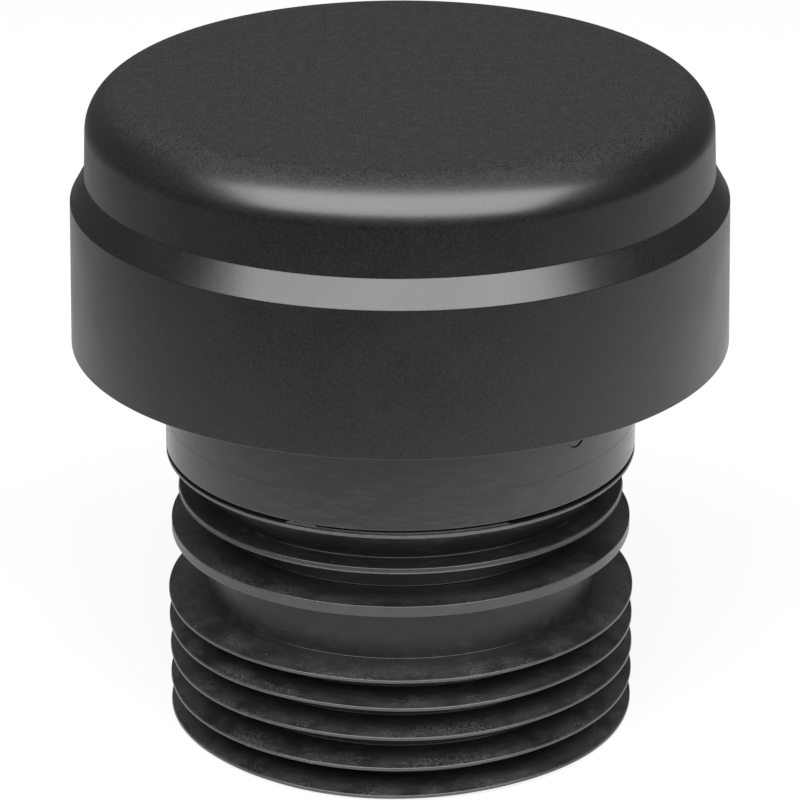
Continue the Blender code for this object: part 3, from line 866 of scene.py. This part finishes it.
def specks(look, scale, size, share):
    """Small sparse dots of dust: one in some cells of a cell pattern."""
    cells = look.add("ShaderNodeTexVoronoi", {"Vector": look.place, "Scale": scale})
    near = look.spread(cells.outputs["Distance"], size * 0.5, size, 1.0, 0.0)
    chance = look.add("ShaderNodeSeparateColor", {0: cells.outputs["Color"]}).outputs[0]
    chosen = look.maths("GREATER_THAN", chance, 1 - share)
    return look.maths("MULTIPLY", near, chosen)


def worn_edges(look, scale, range_from, range_to):
    """Where outer edges are rubbed pale, in patches."""
    patches = look.spread(look.noise(scale, 3), *range_from, *range_to)
    return look.maths("MULTIPLY", look.attribute("edge"), patches)


def satin_plastic(name, base, roughness, grain, top_roughness):
    """Black moulded plastic with a fine grain, faint clouds, pale edges and a few specks of dust."""
    look = Look(name, roughness, 1.75)
    fine = look.noise(2200, 1)
    up = look.spread(look.facing_up(), 0.6, 0.98)
    pale = look.colour(up, shaded(base, 1.4), shaded(base, 3.6))
    colour = look.colour(look.noise(34, 4), shaded(base, 0.4), shaded(base, 0.6))
    colour = look.colour(look.spread(fine, 0.4, 0.66), colour, pale)
    patches = look.maths("MULTIPLY", look.spread(look.noise(420, 3), 0.45, 0.68, 0.0, 0.6), up)
    colour = look.colour(patches, colour, shaded(base, 3.2))
    colour = look.colour(worn_edges(look, 260, (0.4, 0.65), (0.0, 0.4)), colour, CAP_WORN)
    dust = look.maths("MULTIPLY", specks(look, 620, 0.16, 0.03), up)
    colour = look.colour(dust, colour, CAP_SPECK)
    rough = look.spread(look.noise(70, 3), 0.3, 0.7, roughness - 0.025, roughness + 0.025)
    rough = look.add("ShaderNodeMix", {0: up, 2: rough, 3: top_roughness}).outputs[0]
    strength = look.spread(up, 0.0, 1.0, 0.14, 0.34)
    normal = look.bump(fine, strength, grain)
    normal = look.bump(look.noise(900, 2), strength, grain, normal)
    return look.done(colour, rough, normal)


def sheen_banded_plastic(name, base, roughness):
    """Smoother black plastic with faint bands around the part, painted paler as a sheen, and thin pale
    scratches.
    """
    look = Look(name, roughness, 1.75)
    sheen_bands = look.noise(1.0, 5, look.stretched(9.0, 900.0), 0.6)
    colour = look.colour(look.noise(40, 3), shaded(base, 0.85), shaded(base, 1.3))
    # Paler bands around the part: a painted sheen.
    colour = look.colour(look.spread(sheen_bands, 0.43, 0.7, 0.0, 0.9), colour, shaded(base, 4.5))
    scratches = look.noise(1.0, 2, look.stretched(60.0, 5200.0), 0.5)
    colour = look.colour(look.spread(scratches, 0.62, 0.76, 0.0, 0.5), colour, SCRATCH)
    colour = look.colour(worn_edges(look, 300, (0.35, 0.6), (0.2, 0.8)), colour, COLLAR_WORN)
    rough = look.spread(sheen_bands, 0.35, 0.75, roughness - 0.03, roughness + 0.09)
    normal = look.bump(look.noise(1500, 2), 0.45, 0.00003)
    normal = look.bump(sheen_bands, 0.4, 0.00004, normal)
    return look.done(colour, rough, normal)


def rim_tops(look, height):
    """Upper sides near the rims of the fins and the stop flange. Nothing higher: the short fin's top,
    sheltered by the lip, stays dark as painted shade.
    """
    up = look.spread(look.facing_up(), 0.3, 0.95)
    outer = look.spread(look.radius(), FIN_RADIUS - 0.0085, FIN_RADIUS - 0.0015)
    # Nothing above the stop flange: the short fin's top under the lip keeps its dark base colour, as
    # painted shade.
    up_to_stop_flange = look.spread(height, STOP_TOP + 0.001, STOP_TOP + 0.004, 1.0, 0.0)
    return look.maths("MULTIPLY", up, look.maths("MULTIPLY", outer, up_to_stop_flange))


def rubber_dust(look, upper):
    """Loose dust on the upper sides, and faint smears everywhere."""
    lying = look.maths("MULTIPLY", upper, look.spread(look.noise(110, 4), 0.38, 0.66))
    grains = look.spread(look.noise(1500, 3, roughness=0.7), 0.42, 0.68)
    smears = look.spread(look.noise(1.0, 5, look.stretched(14.0, 420.0), 0.65), 0.45, 0.75, 0.0, 0.5)
    faint = look.maths("MULTIPLY", smears, look.noise(60, 3))
    return look.maths("MULTIPLY_ADD", lying, grains, faint)


def wiped_patch(look, across, height):
    """A smear of dust close below the lip, from the middle to the right."""
    below_lip = look.maths(
        "MULTIPLY", look.spread(height, LIP_FOOT - 0.0032, LIP_FOOT - 0.0004),
        look.spread(height, LIP_FOOT + 0.0001, LIP_FOOT + 0.0004, 1.0, 0.0))
    on_right = look.maths("MULTIPLY", below_lip, look.spread(across, -0.004, 0.012))
    wiped = look.spread(look.noise(1.0, 5, look.stretched(22.0, 700.0), 0.7), 0.42, 0.66, 0.0, 0.8)
    return look.maths("MULTIPLY", on_right, wiped)


def seal_rubber(name, base):
    """Black moulded rubber: pale cut rims, dust on what faces up, smears and small specks."""
    look = Look(name, 0.5, 1.6)
    clouds = look.noise(50, 4)
    across, _, height = look.add("ShaderNodeSeparateXYZ", {0: look.place}).outputs
    upper = rim_tops(look, height)
    dust = rubber_dust(look, upper)
    haze = look.maths("MULTIPLY", upper, look.spread(look.noise(130, 4), 0.35, 0.65, 0.03, 0.42))
    rim = look.maths("MULTIPLY", look.attribute("rim"), look.spread(look.noise(420, 3), 0.2, 0.7, 0.8, 1.0))
    colour = look.colour(clouds, shaded(base, 0.8), shaded(base, 1.3))
    layers = (
        (haze, HAZE),
        (dust, DUST),
        (wiped_patch(look, across, height), WIPED_DUST),
        (specks(look, 520, 0.17, 0.05), RUBBER_SPECK),
        (rim, CUT_RUBBER),
    )
    for share, layer in layers:
        colour = look.colour(share, colour, layer)
    rough = look.maths("MULTIPLY_ADD", dust, 0.3, look.spread(clouds, 0.3, 0.7, 0.32, 0.42))
    rough = look.maths("MULTIPLY_ADD", look.attribute("edge"), -0.15, rough)
    aside = look.spread(look.maths("ABSOLUTE", across), 0.02, 0.031)
    dull_roots = look.maths("MULTIPLY", look.attribute("crease"), aside)
    look.set("Specular IOR Level", look.maths("MULTIPLY_ADD", dull_roots, -0.45, 0.5))
    normal = look.bump(look.noise(1700, 3), 0.9, 0.00003)
    normal = look.bump(look.noise(160, 3), 0.2, 0.00008, normal)
    return look.done(colour, rough, normal)


def plain_moulding(name, base, roughness):
    """Moulded plastic of an inner part, with faint flow clouds and a light grain."""
    look = Look(name, roughness, 1.48)
    flow = look.noise(1.0, 3, look.stretched(5.0, 160.0))
    colour = look.colour(look.noise(60, 4), shaded(base, 0.88), shaded(base, 1.1))
    colour = look.colour(look.spread(flow, 0.5, 0.8, 0.0, 0.3), colour, shaded(base, 0.8))
    rough = look.spread(flow, 0.3, 0.7, roughness - 0.04, roughness + 0.06)
    normal = look.bump(look.noise(1300, 2), 0.3, 0.00004)
    return look.done(colour, rough, normal)


def make_materials():
    return {
        "cap_plastic": satin_plastic("cap_plastic", (0.007, 0.007, 0.0072), 0.3, 0.00004, 0.5),
        "body_plastic": sheen_banded_plastic("body_plastic", (0.006, 0.006, 0.0062), 0.2),
        "inner_plastic": plain_moulding("inner_plastic", (0.02, 0.02, 0.021), 0.42),
        "plate_plastic": plain_moulding("plate_plastic", (0.6, 0.61, 0.6), 0.4),
        "screen_plastic": plain_moulding("screen_plastic", (0.03, 0.03, 0.031), 0.5),
        "seal_rubber": seal_rubber("seal_rubber", (0.01, 0.01, 0.0102)),
        "soft_rubber": plain_moulding("soft_rubber", (0.03, 0.027, 0.026), 0.65),
    }


def dress_nodes(materials):
    """Gives the CAD nodes that stay their materials."""
    for part in frame["record"]["subparts"]:
        node = frame["nodes"][part["node"]]
        if node.hide_render:
            continue
        for slot in node.material_slots:
            slot.material = materials[part["material_slot"]]


# Stage, lights and camera

def stage_material(name, surface):
    """A material of the stage. The function it is given adds the nodes of its surface."""
    material = bpy.data.materials.new(name)
    material.use_nodes = True
    tree = material.node_tree
    tree.nodes.clear()
    add_node(tree, "ShaderNodeOutputMaterial", {"Surface": surface(tree).outputs[0]})
    return material


def pale_surface(tree):
    """Plain grey, but white where it is the picture's or a mirror image's background."""
    path = add_node(tree, "ShaderNodeLightPath").outputs
    mirrored = add_node(
        tree, "ShaderNodeMath",
        {0: path["Is Glossy Ray"], 1: path["Is Transmission Ray"]},
        operation="MAXIMUM")
    seen = add_node(
        tree, "ShaderNodeMath",
        {0: path["Is Camera Ray"], 1: mirrored.outputs[0]},
        operation="MAXIMUM")
    glow = add_node(tree, "ShaderNodeEmission", {"Strength": FLOOR_GLOW})
    white = add_node(tree, "ShaderNodeBsdfDiffuse", {"Color": (*FLOOR_WHITE, 1)})
    both = add_node(tree, "ShaderNodeAddShader", {0: white.outputs[0], 1: glow.outputs[0]})
    plain = add_node(tree, "ShaderNodeBsdfDiffuse", {"Color": (*FLOOR_PLAIN, 1)})
    return add_node(
        tree, "ShaderNodeMixShader", {0: seen.outputs[0], 1: plain.outputs[0], 2: both.outputs[0]})


def dark_surface(tree):
    """Clear near the object and dark further away, darkest in front."""
    place = add_node(tree, "ShaderNodeTexCoord").outputs["Object"]
    distance = add_node(tree, "ShaderNodeVectorMath", {0: place}, operation="LENGTH")
    fade = add_node(
        tree, "ShaderNodeMapRange",
        {"Value": distance.outputs["Value"], "From Min": POOL_FADE[0], "From Max": POOL_FADE[1]},
        interpolation_type="SMOOTHSTEP")
    along = add_node(tree, "ShaderNodeSeparateXYZ", {0: place})
    shade = add_node(
        tree, "ShaderNodeMapRange",
        {"Value": along.outputs["Y"], "From Min": -1.0, "To Min": DARK_FRONT, "To Max": DARK_BACK})
    dark = add_node(tree, "ShaderNodeBsdfDiffuse", {"Color": shade.outputs["Result"]})
    clear = add_node(tree, "ShaderNodeBsdfTransparent")
    return add_node(
        tree, "ShaderNodeMixShader",
        {0: fade.outputs["Result"], 1: clear.outputs[0], 2: dark.outputs[0]})


def make_floor():
    outline = [(0, 0, 0, 0, 0), (FLOOR_REACH, 0, 0, 0, 0)]
    floor = turned("floor", outline, evenly(STAGE_STEPS), closed=False)
    floor.data.materials.append(stage_material("pale_floor", pale_surface))


def make_surround():
    """A dark ring over the floor, which the walls mirror beyond the pool of light near the object."""
    outline = [(POOL_FADE[0], 0, 0, 0, 0), (FLOOR_REACH / POOL_REACHES[1], 0, 0, 0, 0)]
    surround = turned("dark_surround", outline, evenly(STAGE_STEPS), closed=False)
    surround.location = (*POOL_CENTRE, SURROUND_LIFT)
    surround.scale = (*POOL_REACHES, 1)
    surround.data.materials.append(stage_material("dark_surround", dark_surface))
    surround.visible_camera = False
    surround.visible_shadow = False
    surround.visible_diffuse = False


def add_lamp(name, place, aim, size, power, roll):
    data = bpy.data.lights.new(name, "AREA")
    data.shape = "RECTANGLE"
    data.size, data.size_y = size
    data.energy = power
    lamp = bpy.data.objects.new(name, data)
    bpy.context.scene.collection.objects.link(lamp)
    lamp.location = place
    lamp.rotation_mode = "QUATERNION"
    level = (Vector(aim) - Vector(place)).to_track_quat("-Z", "Y")
    lamp.rotation_quaternion = level @ Matrix.Rotation(roll, 3, "Z").to_quaternion()
    lamp.visible_camera = False


def make_world():
    """A dim room, a little brighter behind the object."""
    world = bpy.data.worlds.new("studio")
    world.use_nodes = True
    tree = world.node_tree
    place = add_node(tree, "ShaderNodeTexCoord").outputs["Generated"]
    along = add_node(tree, "ShaderNodeSeparateXYZ", {0: place}).outputs["Y"]
    level = add_node(
        tree, "ShaderNodeMapRange",
        {"Value": along, "From Min": BEHIND_FROM, "To Min": WORLD_AROUND, "To Max": WORLD_BEHIND})
    background = tree.nodes["Background"]
    fill_input(tree, background.inputs["Color"], (1, 1, 1, 1))
    fill_input(tree, background.inputs["Strength"], level.outputs["Result"])
    bpy.context.scene.world = world


def make_camera():
    data = bpy.data.cameras.new("camera")
    data.sensor_width = CAMERA_SENSOR
    data.lens = CAMERA_LENS
    data.clip_start = CAMERA_NEAR
    camera = bpy.data.objects.new("camera", data)
    bpy.context.scene.collection.objects.link(camera)
    back = Vector((0, -math.cos(CAMERA_ELEVATION), math.sin(CAMERA_ELEVATION)))
    camera.location = CAMERA_AIM + back * CAMERA_DISTANCE
    camera.rotation_mode = "QUATERNION"
    level = (-back).to_track_quat("-Z", "Y")
    camera.rotation_quaternion = level @ Matrix.Rotation(CAMERA_ROLL, 3, "Z").to_quaternion()
    bpy.context.scene.camera = camera


def make_studio():
    make_floor()
    make_surround()
    make_world()
    up = math.radians(SOFTBOX_ELEVATION)
    place = Vector((0, -math.cos(up), math.sin(up))) * SOFTBOX_DISTANCE
    add_lamp("softbox", place, SOFTBOX_AIM, SOFTBOX_SIZE, SOFTBOX_POWER, SOFTBOX_ROLL)
    bpy.context.scene.view_settings.view_transform = "Standard"


def main():
    materials = make_materials()
    make_pipe_seal(materials["seal_rubber"])
    make_connector(materials["body_plastic"])
    make_cap(materials["cap_plastic"])
    dress_nodes(materials)
    make_camera()
    make_studio()


main()
